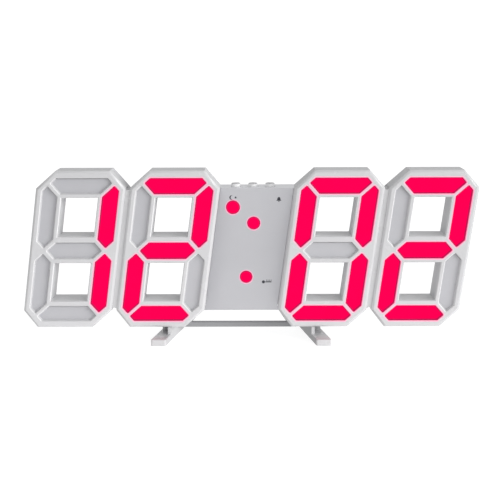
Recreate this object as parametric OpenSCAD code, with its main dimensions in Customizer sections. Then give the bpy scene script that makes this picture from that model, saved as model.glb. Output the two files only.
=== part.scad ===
// Free-standing digital clock: four open seven-segment digits, a set-back centre
// housing with a colon and indicator lenses, three top buttons and two swing-out feet.
// Frame: X to the right, Y to the back, Z up. Origin on the table, under the middle of the box.

/* [Digits] */
// Overall width across the four slanted digits
clock_w = 221; // [212:1:233]
// Height of a digit, without the flare
digit_h = 76; // [74:0.5:79]
// Width of one digit, before slanting and without the flare
digit_w = 42.1; // [41:0.1:43]
// How far the digit bodies stand out around that width and height
flare = 0.5; // [0.3:0.1:0.6]
// Corner chamfer of a digit
digit_ch = 8.15; // [7:0.05:9]
// How much less the lower left corner of a digit is cut off
low_left = 0.8; // [0:0.1:1]
// Slant of the digits, run per rise
slant = 0.1345; // [0.10:0.005:0.16]
// Distance between the two digits of a pair
pair_pitch = 45.25; // [45:0.05:46.5]
// Depth of the digit bodies, cover included
digit_d = 15.9; // [15.5:0.1:18]

/* [Segments] */
// Depth of the pocket in front of each diffuser
pocket_d = 1.6; // [1.2:0.1:2]
// Half width of the holes through a digit
hole_hw = 8.8; // [8:0.1:9]
// Gap between neighbouring windows, across the mitre
mitre_gap = 1.7; // [1.5:0.1:2]

/* [Housing] */
// How far the centre panel is set back from the digit fronts
panel_back = 13.6; // [12:0.1:13.8]
// Rear face of the centre housing, from the digit fronts
housing_d = 29.8; // [29:0.1:31]
// Distance between buttons
button_pitch = 8.5; // [7.5:0.1:9]
// How far the buttons stand out
button_up = 1.6; // [1.2:0.1:2]

/* [Stand] */
// Height of the digits above the table
foot_h = 7.7; // [7.5:0.1:8.3]
// Splay of the feet, run per rise
splay = 0.182; // [0.12:0.002:0.22]
// Width of a foot leg
leg_w = 7.45; // [7:0.05:8]
// Reach of a foot in front of the digit fronts
toe_out = 8; // [6:0.1:10]
// Reach of a foot behind the digit fronts
heel_out = 32; // [31:0.1:36]
// Distance from the middle of the stand to the middle of a toe
toe_x = 40.2; // [39:0.1:41]

/* [Hidden] */
$fn = 48;

// The feet reach furthest to the front and to the back, so they set the middle of the box.
Y0 = -(heel_out - toe_out) / 2;
Z0 = foot_h + flare;
mid = digit_h / 2;
hw = digit_w / 2;
// centre of each digit, at half height
edge = clock_w / 2 - hw - flare - slant * (mid - digit_ch + 0.4142 * flare);
CX = [-edge, -edge + pair_pitch, edge - pair_pitch, edge];
// inner side of digits 2 and 3: half the width of the centre opening
cw = CX[2] - hw - flare;

cover_t = 2;              // thickness of the rear covers
wall = 1.6;               // shell wall
split_d = digit_d - cover_t;
board_f = 7.4;            // front of the digit boards
board_t = 1.4;
// windows
xi = 10.75;               // inner edge of the side windows
xo = hw - 2.45;           // outer edge of the side windows
zm = 37.6;                // middle of the centre window
mh = 4.05;                // half height of the centre window
tz = [65.2, 72.95];       // top window
bz = [2.75, 10.25];       // bottom window
kt = hw + digit_h - digit_ch - 3.45;   // top chamfer line of the windows, u + z
kb = 8.9;                 // bottom chamfer line of the windows, u - z
kl = kb + 0.7 * low_left; // the same at the left end of the bottom window
tm = 54.35;               // top mitre, z - u
bm = 21.0;                // bottom mitre, z + u
g = mitre_gap * 0.7071;
// holes: [bottom, top]
hl = [12.75, 31.5];
hu = [44.5, 63.4];

function P(i, u, z) = [CX[i] + u + slant * (z - mid), z];
function C(u, z) = [u + slant * (z - mid), z];
function oct(m) = let (n = m - flare, a = hw - n, b = n, t = digit_h - n, c = digit_ch - 0.5858 * n)
  [[a, b + c], [a, t - c], [a - c, t], [-a + c, t], [-a, t - c], [-a, b + c], [-a + c - low_left, b], [a - c, b]];
function rectp(a, z0, z1) = [[a, z0], [a, z1], [-a, z1], [-a, z0]];
function flip(p) = [for (q = p) [-q[0], q[1]]];
// windows in the order top, upper right, lower right, bottom, lower left, upper left, middle
tipt = (kt - tm - g) / 2;
w_top = [[tz[0] - tm - g, tz[0]], [tipt, kt - tipt], [kt - tz[1], tz[1]],
  [-(kt - tz[1]), tz[1]], [-tipt, kt - tipt], [-(tz[0] - tm - g), tz[0]]];
urt = (kt - tm + g) / 2;
cu0 = 13.5 + zm + 2 * g + 0.4;      // lower mitre of the upper side window, u + z
ud0 = zm - 13.75;                   // outer foot of the upper side window, z - u
w_ur = [[xi, xi + tm - g], [urt, kt - urt], [xo, kt - xo], [xo, xo + ud0],
  [(cu0 - ud0) / 2, (cu0 + ud0) / 2], [xi, cu0 - xi]];
function w_low(k) = [[xi, 2 * zm - (cu0 - xi)], [(cu0 - ud0) / 2, 2 * zm - (cu0 + ud0) / 2], [xo, 2 * zm - (xo + ud0)],
  [xo, xo - k], [(bm + g + k) / 2, (bm + g - k) / 2], [xi, bm + g - xi]];
w_bot = [[bm - g - bz[1], bz[1]], [(bm - g + kb) / 2, (bm - g - kb) / 2], [bz[0] + kb, bz[0]],
  [-(bz[0] + kl), bz[0]], [-(bm - g + kl) / 2, (bm - g - kl) / 2], [-(bm - g - bz[1]), bz[1]]];
w_mid = [[13.5, zm], [13.5 - mh, zm + mh], [-13.5 + mh, zm + mh], [-13.5, zm], [-13.5 + mh, zm - mh], [13.5 - mh, zm - mh]];
WIN = [w_top, w_ur, w_low(kb - 0.5), w_bot, flip(w_low(kb - 0.5 + 1.1 * low_left)), flip(w_ur), w_mid];
// which windows are lit: 1 2 0 2
LIT = [[1, 2], [0, 1, 6, 4, 3], [0, 1, 2, 3, 4, 5], [0, 1, 6, 4, 3]];
DARK = [[0, 3, 4, 5, 6], [2, 5], [6], [2, 5]];
// centre of a polygon, and the polygon grown about it by about m
function cen(p) = [for (k = [0, 1]) let (v = [for (q = p) q[k]]) (max(v) + min(v)) / 2];
function grow(p, m) = let (c = cen(p), r = [for (k = [0, 1]) max([for (q = p) abs(q[k] - c[k])])])
  [for (q = p) [c[0] + (q[0] - c[0]) * (1 + m / r[0]), c[1] + (q[1] - c[1]) * (1 + m / r[1])]];
function at(i, p) = [for (q = p) P(i, q[0], q[1])];
function ctr(p) = [for (q = p) C(q[0], q[1])];

white = [0.90, 0.90, 0.91];
red = [0.99, 0.02, 0.33];
grey = [0.74, 0.74, 0.76];

// a plate in the X-Z plane from depth a to depth b behind the digit fronts
module slab(a, b) translate([0, Y0 + b, Z0]) rotate([90, 0, 0]) linear_extrude(height = b - a) children();
// a round bar along Y
module rod(x, z, r, a, b) translate([x, Y0 + b, Z0 + z]) rotate([90, 0, 0]) cylinder(r = r, h = b - a);
module box(x0, x1, y0, y1, z0, z1) translate([x0, Y0 + y0, Z0 + z0]) cube([x1 - x0, y1 - y0, z1 - z0]);
module rodp(p, r, a, b) rod(p[0], p[1], r, a, b);

boss_u = 17.9;             // cover screw bosses, at half height of a digit
function bosses(i) = [P(i, -boss_u, zm), P(i, boss_u, zm)];
pivot_y = 11.4;
pivot_x = toe_x - (pivot_y + toe_out) * splay;
stand_x = -4.1;
// ribbon slot between the digits of a pair
rib_z = [20, 28];

// ---- digit shells -------------------------------------------------------
module holes2d(i, m) {
  polygon(at(i, rectp(hole_hw + m, hl[0] - m, hl[1] + m)));
  polygon(at(i, rectp(hole_hw + m, hu[0] - m, hu[1] + m)));
}
module face2d(i) difference() {
  polygon(at(i, oct(0)));
  holes2d(i, 0);
  for (w = WIN) polygon(at(i, w));
}
module frame2d(i) {
  difference() { polygon(at(i, oct(0))); polygon(at(i, oct(wall))); }
  difference() { holes2d(i, 1.3); holes2d(i, 0); }
}
// light baffles between neighbouring segments, along the mitres
module baffle2d(i) {
  for (s = [-1, 1]) {
    polygon(at(i, [[s * 9.3, 9.3 + tm + 0.5], [s * 9.3, 9.3 + tm - 0.5], [s * 17.2, 17.2 + tm - 0.5], [s * 17.2, 17.2 + tm + 0.5]]));
    polygon(at(i, [[s * 9.3, bm - 9.3 + 0.5], [s * 9.3, bm - 9.3 - 0.5], [s * 16.8, bm - 16.8 - 0.5], [s * 16.8, bm - 16.8 + 0.5]]));
    polygon(at(i, [[s * 9.4, zm + 5.6], [s * 9.4, zm + 4.6], [s * 14.3, zm - 0.3], [s * 15.2, zm + 0.3]]));
    polygon(at(i, [[s * 9.4, zm - 5.6], [s * 9.4, zm - 4.6], [s * 14.3, zm + 0.3], [s * 15.2, zm - 0.3]]));
  }
}
module digit_shell(i) {
  slab(0, pocket_d) face2d(i);
  slab(pocket_d, split_d) frame2d(i);
  slab(pocket_d, board_f - 0.05) intersection() { polygon(at(i, oct(0.5))); baffle2d(i); }
  for (p = bosses(i)) rodp(p, 2.2, pocket_d, split_d);
}
// web that ties the two digits of a pair, a little behind their fronts, with its top and bottom closed
// (v0 and v1: how far its lower and its upper edge are notched in the middle)
function between(i, z0, z1, v0 = 0, v1 = 0) = [P(i, hw - 1, z0), P(i, hw - 0.2, z0),
  (P(i, hw, z0 + v0) + P(i + 1, -hw, z0 + v0)) / 2, P(i + 1, -hw + 0.2, z0), P(i + 1, -hw + 1, z0),
  P(i + 1, -hw + 1, z1), P(i + 1, -hw + 0.2, z1), (P(i, hw, z1 - v1) + P(i + 1, -hw, z1 - v1)) / 2,
  P(i, hw - 0.2, z1), P(i, hw - 1, z1)];
notch = 0.9;
web_z = [digit_ch + 0.1, digit_h - digit_ch - 0.1];
module web(i) {
  slab(1.4, 3.4) polygon(between(i, web_z[0], web_z[1], notch, notch));
  slab(3.4, split_d) {
    polygon(between(i, web_z[1] - 2.5, web_z[1], 0, notch));
    polygon(between(i, web_z[0], web_z[0] + 2.5, notch, 0));
  }
}
module shell_cuts(i) {
  for (p = bosses(i)) rodp(p, 0.9, 4.5, split_d + 1);
}
module pivot_boss(x) {
  translate([x, Y0 + pivot_y, Z0 + 0.3]) cylinder(r = 2.2, h = 8.2);
}
module pair_shell(i, px) {
  color(white) difference() {
    union() {
      digit_shell(i);
      digit_shell(i + 1);
      web(i);
      pivot_boss(px);
    }
    shell_cuts(i);
    shell_cuts(i + 1);
    translate([px, Y0 + pivot_y, Z0 - 1]) cylinder(r = 1.22, h = 8.2);
    box(P(i, hw - 2.5, 24)[0], P(i + 1, -hw + 2.5, 24)[0], 8.75, 9.7, rib_z[0] - 0.3, rib_z[1] + 0.3);
  }
}
module left_digit_shell() pair_shell(0, stand_x - pivot_x);
module right_digit_shell() pair_shell(2, stand_x + pivot_x);

// ---- rear covers of the digit pairs ------------------------------------
// screw points that tie the centre housing to the covers
function link_pts(s) = [C(s * 22.6, 25), C(s * 22.6, 50)];
rail_pt = 26.2;            // screw of the stand rail, from the middle
rail_sz = 7.2;
head_win = [28.2, 34.2];       // board header slot
module pair_cover(i, s) {
  color(white) difference() {
    union() {
      slab(split_d, digit_d) for (k = [i, i + 1]) difference() { polygon(at(k, oct(0))); holes2d(k, 0); }
      slab(split_d, digit_d) polygon(between(i, web_z[0], web_z[1], notch, notch));
      // locating lip inside the shell
      slab(split_d - 1.2, split_d) for (k = [i, i + 1]) difference() {
        polygon(at(k, oct(wall + 0.1)));
        polygon(at(k, oct(wall + 1.1)));
        for (p = bosses(k)) translate(p) circle(r = 2.4);
        if (k == (s < 0 ? 1 : 2)) translate([stand_x + s * pivot_x, 4]) square([5, 10], center = true);
      }
      for (p = link_pts(s)) rodp(p, 2.2, 10.4, split_d);
      rodp(C(s * rail_pt, rail_sz), 2.2, 10.4, split_d);
    }
    for (k = [i, i + 1]) for (p = bosses(k)) {
      rodp(p, 1.1, split_d - 2, digit_d + 1);
      rodp(p, 1.9, digit_d - 1, digit_d + 1);
    }
    for (p = link_pts(s)) rodp(p, 0.9, 11.2, digit_d + 1);
    rodp(C(s * rail_pt, rail_sz), 0.9, 11.2, digit_d + 1);
    slab(split_d - 2, digit_d + 1) polygon([C(s * 20.9, head_win[0]), C(s * 24.3, head_win[0]), C(s * 24.3, head_win[1]), C(s * 20.9, head_win[1])]);
  }
}
module left_rear_cover() pair_cover(0, -1);
module right_rear_cover() pair_cover(2, 1);

// ---- centre housing -----------------------------------------------------
pz = [4.9, 66.4];          // panel, bottom and top
wz = 12;                   // bottom of the wings
wu = 26.6;                 // half width behind the digits
hb = housing_d - 2;        // front of the rear cover
gap = 0.05;
function neck(m) = ctr(rectp(cw - gap - m, pz[0] + m, pz[1] - m));
function tee(m) = ctr([[cw - gap - m, pz[0] + m], [cw - gap - m, wz + m], [wu - m, wz + m], [wu - m, pz[1] - m],
  [-wu + m, pz[1] - m], [-wu + m, wz + m], [-cw + gap + m, wz + m], [-cw + gap + m, pz[0] + m]]);
// lens centres: pm, upper colon, lower colon
LENS = [[-8.1, 56.85, 3.45], [2.1, 48.95, 3.25], [-1.7, 21.85, 3.15]];
bx = slant * (pz[1] - mid) - 2.05;         // middle button
by = 21.9;                                 // buttons, depth
module stadium(l, w) { square([w, l - w], center = true); for (s = [-1, 1]) translate([0, s * (l - w) / 2]) circle(r = w / 2); }
CCS = [C(-wu + 4.2, wz + 4), C(wu - 4.2, wz + 4), C(-wu + 4.2, pz[1] - 4), C(wu - 4.2, pz[1] - 4)];
BDS = [C(-13, 12.5), C(14.5, 47)];
module centre_housing() color(grey) difference() {
  union() {
    difference() {
      union() {
        slab(panel_back, digit_d + 0.1) polygon(neck(0));
        // small lugs that close the panel off against the cut corners of the digits
        slab(panel_back, panel_back + 1.5) for (s = [-1, 1])
          polygon(ctr([[s * (cw - gap - 0.4), pz[0]], [s * (cw + 1.1), pz[0]], [s * (cw - gap - 0.4), pz[0] + 2.9]]));
        slab(digit_d + 0.05, hb) polygon(tee(0));
      }
      slab(panel_back + 1.6, hb + 1) polygon(neck(1.6));
      slab(digit_d + 2, hb + 1) polygon(tee(1.6));
    }
    for (p = CCS) rodp(p, 2.3, digit_d + 1, hb);
    for (p = BDS) rodp(p, 2.1, panel_back + 1, 18.45);
  }
  for (l = LENS) rod(l[0], l[1], l[2], panel_back - 1, panel_back + 3);
  for (p = CCS) rodp(p, 0.9, 20, hb + 1);
  for (p = BDS) rodp(p, 0.9, 15.4, 19);
  // buttons
  for (k = [-1, 0, 1]) translate([bx + k * button_pitch, Y0 + by, Z0 + pz[1] - 3]) linear_extrude(height = 5) stadium(6.3, 5.0);
  // link screws and headers
  for (s = [-1, 1]) {
    for (p = link_pts(s)) rodp(p, 1.15, digit_d - 1, 19);
    slab(digit_d - 1, 19) polygon([C(s * 20.9, head_win[0]), C(s * 24.3, head_win[0]), C(s * 24.3, head_win[1]), C(s * 20.9, head_win[1])]);
  }
}

// ---- centre rear cover ---------------------------------------------------
KH = [C(-14, 54), C(14, 54)];              // wall hooks
door_w = 25;                               // battery door
door_z = [pz[0], 35];
usb = C(-16, 42);
buz = C(15.5, 38);
door_x = slant * (21 - mid);
tongue = 1;                                // side tongues of the door
module door2d(m) { translate([door_x - door_w / 2 - m, door_z[0] - 3]) square([door_w + 2 * m, door_z[1] - door_z[0] + 3 + m]); }
module plate2d(w) { translate([door_x - w / 2, door_z[0] + 0.05]) square([w, door_z[1] - door_z[0] - 0.05]); }
module centre_rear_cover() color(white) difference() {
  union() {
    slab(hb, housing_d) polygon(tee(0));
    // lip
    slab(hb - 1.2, hb) difference() {
      polygon(tee(1.7));
      polygon(tee(2.7));
      for (p = CCS) translate(p) square([10, 10], center = true);
      translate([door_x, 5]) square([door_w + 4, 8], center = true);
    }
  }
  for (p = CCS) { rodp(p, 1.1, hb - 2, housing_d + 1); rodp(p, 1.9, housing_d - 1, housing_d + 1); }
  for (p = KH) {
    rodp(p, 3.6, hb - 2, housing_d + 1);
    slab(hb - 2, housing_d + 1) translate([p[0], p[1] + 3]) square([3.4, 6], center = true);
    rod(p[0], p[1] + 6, 1.7, hb - 2, housing_d + 1);
  }
  // battery door: a step that the door lies in, and the opening behind it
  slab(housing_d - 1.3, housing_d + 1) door2d(0.15);
  slab(housing_d - 1.3, housing_d - 0.55) door2d(0.15 + tongue);
  slab(hb - 2, housing_d + 1) translate([door_x, 20.5]) square([22.4, 23], center = true);
  // power socket and sounder
  slab(hb - 2, housing_d + 1) translate(usb) square([8.2, 3.6], center = true);
  rodp(buz, 0.8, hb - 2, housing_d + 1);
  for (a = [0 : 60 : 300]) rod(buz[0] + 3 * cos(a), buz[1] + 3 * sin(a), 0.8, hb - 2, housing_d + 1);
}
module battery_door() color(white) {
  difference() {
    union() {
      slab(housing_d - 1.2, housing_d) plate2d(door_w);
      slab(housing_d - 1.2, housing_d - 0.65) plate2d(door_w + 2 * tongue);
    }
    // finger ribs, cut as grooves
    for (k = [0 : 4]) box(door_x - 6, door_x + 6, housing_d - 0.4, housing_d + 1, door_z[0] + 4 + k * 1.6, door_z[0] + 4.8 + k * 1.6);
  }
}

// ---- stand rail -----------------------------------------------------------
rail_y = [digit_d + 0.1, digit_d + 3.1];
module stand_rail() color(grey) difference() {
  slab(rail_y[0], rail_y[1]) polygon(ctr([[18.75, 11], [29, 11], [29, -4.4], [-29, -4.4], [-29, 11], [-18.75, 11],
    [-18.75, 4.6], [-24, -1.8], [24, -1.8], [18.75, 4.6]]));
  for (s = [-1, 1]) {
    rodp(C(s * rail_pt, rail_sz), 1.15, digit_d - 1, digit_d + 6);
    rodp(C(s * rail_pt, rail_sz), 1.9, digit_d + 2.1, digit_d + 6);
  }
}

// ---- diffusers and boards --------------------------------------------------
module segs(i, list, c) color(c) slab(pocket_d, pocket_d + 1.2) for (k = list) polygon(at(i, grow(WIN[k], 0.22)));
module digit_board(i) color([0.93, 0.93, 0.90]) difference() {
  slab(board_f, board_f + board_t) difference() { polygon(at(i, oct(2))); holes2d(i, 1.6); }
  for (p = bosses(i)) rodp(p, 2.5, board_f - 1, board_f + board_t + 1);
}
function led_pts(p) = let (c = cen(p), a = [for (q = p) q[0]], b = [for (q = p) q[1]],
  h = (max(a) - min(a)) > (max(b) - min(b)) ? [6, 0] : [0, 5.6]) [c - h, c + h];
module segment_leds() color([0.95, 0.93, 0.75]) for (i = [0 : 3]) for (w = WIN) for (q = led_pts(w))
  let (c = P(i, q[0], q[1])) box(c[0] - 1.4, c[0] + 1.4, board_f - 0.8, board_f, c[1] - 1.2, c[1] + 1.2);
module lens(l) color(red) rod(l[0], l[1], l[2] - 0.03, panel_back, panel_back + 1.9);
module pm_lens() lens(LENS[0]);
module colon_upper_lens() lens(LENS[1]);
module colon_lower_lens() lens(LENS[2]);

// ---- electronics of the centre housing ---------------------------------------
cb = 18.5;                 // front of the control board
ct = 1.6;
module control_board() color([0.05, 0.33, 0.18]) difference() {
  slab(cb, cb + ct) polygon(ctr([[16.2, 8], [16.2, 27.6], [24.2, 27.6], [24.2, 44], [16.2, 44], [16.2, 61.5],
    [-16.2, 61.5], [-16.2, 44], [-24.2, 44], [-24.2, 27.6], [-16.2, 27.6], [-16.2, 8]]));
  for (p = BDS) rodp(p, 1.1, cb - 1, cb + ct + 1);
}
module indicator_leds() color([0.95, 0.93, 0.75]) for (l = concat(LENS, [[16.4, 55.4, 1], [9.5, 19.4, 1]]))
  box(l[0] - 1.4, l[0] + 1.4, cb - 0.8, cb, l[1] - 1.2, l[1] + 1.2);
module controller_chip() color([0.08, 0.08, 0.09]) {
  box(-6, 4, cb - 1.9, cb - 0.2, 32, 39.5);
  for (k = [0 : 7]) { box(-5.4 + k * 1.2, -4.9 + k * 1.2, cb - 0.6, cb, 30.6, 32); box(-5.4 + k * 1.2, -4.9 + k * 1.2, cb - 0.6, cb, 39.5, 40.9); }
}
module clock_crystal() color([0.75, 0.75, 0.77]) translate([9, Y0 + cb - 1.05, Z0 + 33]) cylinder(r = 1, h = 6);
module buzzer() color([0.07, 0.07, 0.07]) difference() { rodp(buz, 5.5, cb + ct, cb + ct + 6.4); rodp(buz, 1.2, cb + ct + 5.4, cb + ct + 7); }
cell_y = cb + ct + 1.4;
module battery_holder() color([0.12, 0.12, 0.13]) difference() {
  box(door_x - 11, door_x + 11, cb + ct, cell_y + 3, 10.6, 31.4);
  rod(door_x, 21, 10.2, cell_y - 0.2, cell_y + 6);
}
module coin_cell() color([0.80, 0.81, 0.82]) { rod(door_x, 21, 10, cell_y, cell_y + 2.6); rod(door_x, 21, 8.9, cell_y + 2.6, cell_y + 3.2); }
module battery_contact() color([0.85, 0.80, 0.62]) {
  box(door_x - 3, door_x + 3, cell_y + 3.25, cell_y + 3.65, 14, 33.4);
  box(door_x - 3, door_x + 3, cb + ct, cell_y + 3.65, 33, 33.4);
}
module usb_socket() color([0.78, 0.78, 0.80]) difference() {
  slab(cb + ct, housing_d - 0.2) translate(usb) square([7.6, 3.0], center = true);
  slab(cb + ct + 4, housing_d + 1) translate(usb) difference() { square([7.0, 2.4], center = true); square([4.6, 0.7], center = true); }
}
module button_switches() color([0.15, 0.15, 0.16]) for (k = [-1, 0, 1]) difference() {
  box(bx + k * button_pitch - 2.9, bx + k * button_pitch + 2.9, cb + ct, cb + ct + 4.4, 57.6, 61.4);
  translate([bx + k * button_pitch, Y0 + by, Z0 + 59.2]) cylinder(r = 1.28, h = 4);
}
module plunger(k) color([0.80, 0.30, 0.15]) translate([bx + k * button_pitch, Y0 + by, Z0 + 60.2]) cylinder(r = 1.2, h = 3);
module left_switch_plunger() plunger(-1);
module middle_switch_plunger() plunger(0);
module right_switch_plunger() plunger(1);
module button(k) color(white) translate([bx + k * button_pitch, Y0 + by, Z0]) {
  translate([0, 0, 64.2]) linear_extrude(height = pz[1] + button_up - 64.2 - 0.4) stadium(6.0, 4.7);
  translate([0, 0, pz[1] + button_up - 0.4]) linear_extrude(height = 0.4) stadium(5.6, 4.3);
  translate([0, 0, 63.2]) linear_extrude(height = 1.2) stadium(7.4, 6.1);
}
module left_button() button(-1);
module middle_button() button(0);
module right_button() button(1);
module smoothing_capacitor() color([0.16, 0.17, 0.20]) rodp(C(-5, 38), 2.5, cb + ct, cb + ct + 5.2);
module chip_components() color([0.55, 0.45, 0.35]) {
  for (k = [0 : 5]) box(-13 + k * 3.4, -11.4 + k * 3.4, cb - 0.6, cb, 26, 27);
  for (k = [0 : 3]) box(-13, -11.4, cb - 0.6, cb, 41 + k * 2.6, 42 + k * 2.6);
}
module temperature_sensor() color([0.10, 0.10, 0.10]) {
  translate([8.4, Y0 + cb - 1.3, Z0 + 9.6]) cylinder(r = 1.2, h = 3.4);
  box(7.7, 8.0, cb - 1.5, cb, 9.2, 9.6);
  box(8.8, 9.1, cb - 1.5, cb, 9.2, 9.6);
}
module ribbon(i) color([0.80, 0.80, 0.82])
  box(P(i, hw - 5, 24)[0], P(i + 1, -hw + 5, 24)[0], board_f + board_t + 0.02, board_f + board_t + 0.7, rib_z[0], rib_z[1]);
module left_ribbon_cable() ribbon(0);
module right_ribbon_cable() ribbon(2);
module header(s) color([0.10, 0.10, 0.10])
  slab(board_f + board_t, cb) polygon([C(s * 21.6, head_win[0] + 0.6), C(s * 23.6, head_win[0] + 0.6), C(s * 23.6, head_win[1] - 0.6), C(s * 21.6, head_win[1] - 0.6)]);
module left_board_header() header(-1);
module right_board_header() header(1);

// ---- fasteners ------------------------------------------------------------------
// a self-tapping screw whose head seat is at depth y
module tapper(p, y, l, hr = 1.7, hh = 0.9) {
  difference() {
    union() { rodp(p, hr, y, y + hh); rodp(p, 0.87, y - l, y); }
    for (a = [0, 90]) translate([p[0], Y0 + y + hh, Z0 + p[1]]) rotate([0, a, 0]) cube([1.8, 0.8, 0.36], center = true);
  }
}
steel = [0.62, 0.63, 0.65];
module cover_screws() color(steel) for (i = [0 : 3]) for (p = bosses(i)) tapper(p, digit_d - 0.98, 8);
module link_screws() color(steel) for (s = [-1, 1]) for (p = link_pts(s)) tapper(p, digit_d + 2.02, 6);
module rail_screws() color(steel) for (s = [-1, 1]) tapper(C(s * rail_pt, rail_sz), digit_d + 2.12, 6);
module centre_cover_screws() color(steel) for (p = CCS) tapper(p, housing_d - 0.98, 7);
module board_screws() color(steel) for (p = BDS) tapper(p, cb + ct + 0.02, 4.2, 1.7, 0.9);

// ---- feet ---------------------------------------------------------------------
// The right foot, about its pivot. y is measured from the digit fronts.
function lx(y) = splay * (pivot_y - y);
module leg2d(a, b, m) {
  w = leg_w / 2 - m;
  polygon([[lx(a) - w + 0.8, a - pivot_y], [lx(a) + w - 0.8, a - pivot_y], [lx(a) + w, a - pivot_y + 0.8],
    [lx(b) + w, b - pivot_y - 0.8], [lx(b) + w - 0.8, b - pivot_y], [lx(b) - w + 0.8, b - pivot_y], [lx(b) - w, b - pivot_y - 0.8], [lx(a) - w, a - pivot_y + 0.8]]);
}
pad_y = [-toe_out + 3.6, heel_out - 3.6];
leg_t = 3.2;               // thickness of the leg
fin_t = 1.6;               // thickness of the fin
post_r = 2.8;              // radius of the pivot post
fin_y = [2.4, 17];         // front and rear end of the fin
module foot() translate([stand_x + pivot_x, Y0 + pivot_y, 0]) difference() {
  union() {
    translate([0, 0, 0.3]) linear_extrude(height = leg_t) leg2d(-toe_out, heel_out, 0);
    // pivot post, and the fin that runs past it along the inner edge
    translate([0, 0, leg_t]) linear_extrude(height = foot_h - 0.45 - leg_t) {
      polygon([[lx(fin_y[0]) - leg_w / 2, fin_y[0] - pivot_y], [lx(fin_y[0]) - leg_w / 2 + fin_t, fin_y[0] - pivot_y],
        [lx(fin_y[1]) - leg_w / 2 + fin_t, fin_y[1] - pivot_y], [lx(fin_y[1]) - leg_w / 2, fin_y[1] - pivot_y]]);
      circle(r = post_r);
    }
  }
  translate([0, 0, -1]) cylinder(r = 1.65, h = 20);
  translate([0, 0, -1]) cylinder(r = 2.45, h = 3.6);
  for (y = pad_y) translate([lx(y), y - pivot_y, -1]) cylinder(r = 2.3, h = 1.8);
}
module right_foot() color(white) foot();
module left_foot() color(white) translate([2 * stand_x, 0, 0]) mirror([1, 0, 0]) foot();
module pads(s) color([0.55, 0.55, 0.56]) for (y = pad_y)
  translate([stand_x + s * (pivot_x + lx(y)), Y0 + y, 0]) cylinder(r = 2.27, h = 0.8);
module left_foot_pads() pads(-1);
module right_foot_pads() pads(1);
module pivot_screw(s) color(steel) translate([stand_x + s * pivot_x, Y0 + pivot_y, 0]) difference() {
  union() {
    translate([0, 0, 1.0]) cylinder(r = 2.25, h = 1.55);
    translate([0, 0, 2.55]) cylinder(r = 1.6, h = foot_h - 2.55);
    translate([0, 0, foot_h]) cylinder(r = 1.2, h = 7);
  }
  for (a = [0, 90]) rotate([0, 0, a]) translate([0, 0, 1]) cube([2.6, 0.5, 1.2], center = true);
}
module pivot_screws() { pivot_screw(-1); pivot_screw(1); }
module washer(s) color([0.25, 0.25, 0.26]) translate([stand_x + s * pivot_x, Y0 + pivot_y, foot_h - 0.42]) difference() {
  cylinder(r = 3.2, h = 0.4);
  translate([0, 0, -1]) cylinder(r = 1.66, h = 3);
}
module pivot_washers() { washer(-1); washer(1); }

module digit1_lit_segments() segs(0, LIT[0], red);
module digit2_lit_segments() segs(1, LIT[1], red);
module digit3_lit_segments() segs(2, LIT[2], red);
module digit4_lit_segments() segs(3, LIT[3], red);
module digit1_dark_segments() segs(0, DARK[0], grey);
module digit2_dark_segments() segs(1, DARK[1], grey);
module digit3_dark_segments() segs(2, DARK[2], grey);
module digit4_dark_segments() segs(3, DARK[3], grey);
module digit1_board() digit_board(0);
module digit2_board() digit_board(1);
module digit3_board() digit_board(2);
module digit4_board() digit_board(3);

left_digit_shell();
right_digit_shell();
left_rear_cover();
right_rear_cover();
centre_housing();
centre_rear_cover();
stand_rail();
digit1_lit_segments();
digit2_lit_segments();
digit3_lit_segments();
digit4_lit_segments();
digit1_dark_segments();
digit2_dark_segments();
digit3_dark_segments();
digit4_dark_segments();
digit1_board();
digit2_board();
digit3_board();
digit4_board();
segment_leds();
pm_lens();
colon_upper_lens();
colon_lower_lens();
control_board();
indicator_leds();
controller_chip();
clock_crystal();
buzzer();
battery_holder();
coin_cell();
battery_contact();
battery_door();
usb_socket();
button_switches();
left_button();
middle_button();
right_button();
left_foot();
right_foot();
left_foot_pads();
right_foot_pads();
cover_screws();
link_screws();
rail_screws();
centre_cover_screws();
board_screws();
left_ribbon_cable();
right_ribbon_cable();
left_board_header();
right_board_header();
smoothing_capacitor();
chip_components();
temperature_sensor();
left_switch_plunger();
middle_switch_plunger();
right_switch_plunger();
pivot_screws();
pivot_washers();
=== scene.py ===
"""Looks of a digital clock with four open seven-segment digits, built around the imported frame.
Lengths are in millimetres until a mesh is finished, then in metres. y counts from the digit fronts
to the back and z from the digit bottoms, as in the construction; Y0 and Z0 turn that into the row frame."""
import math

import bmesh
import bpy
from mathutils import Matrix, Vector


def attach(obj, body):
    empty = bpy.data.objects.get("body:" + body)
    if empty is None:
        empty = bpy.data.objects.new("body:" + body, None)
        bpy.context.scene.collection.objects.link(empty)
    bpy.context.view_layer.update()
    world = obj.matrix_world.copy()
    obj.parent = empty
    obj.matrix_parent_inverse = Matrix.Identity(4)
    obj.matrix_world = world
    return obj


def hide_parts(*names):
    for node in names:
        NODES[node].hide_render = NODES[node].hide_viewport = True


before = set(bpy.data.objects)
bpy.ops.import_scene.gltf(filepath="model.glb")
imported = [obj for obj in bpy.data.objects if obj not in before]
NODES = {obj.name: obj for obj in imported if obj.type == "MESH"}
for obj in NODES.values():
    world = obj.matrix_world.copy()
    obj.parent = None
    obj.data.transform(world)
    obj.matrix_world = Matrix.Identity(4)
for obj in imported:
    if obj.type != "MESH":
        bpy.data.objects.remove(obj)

scene = bpy.context.scene
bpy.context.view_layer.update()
MM = 0.001

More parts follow.
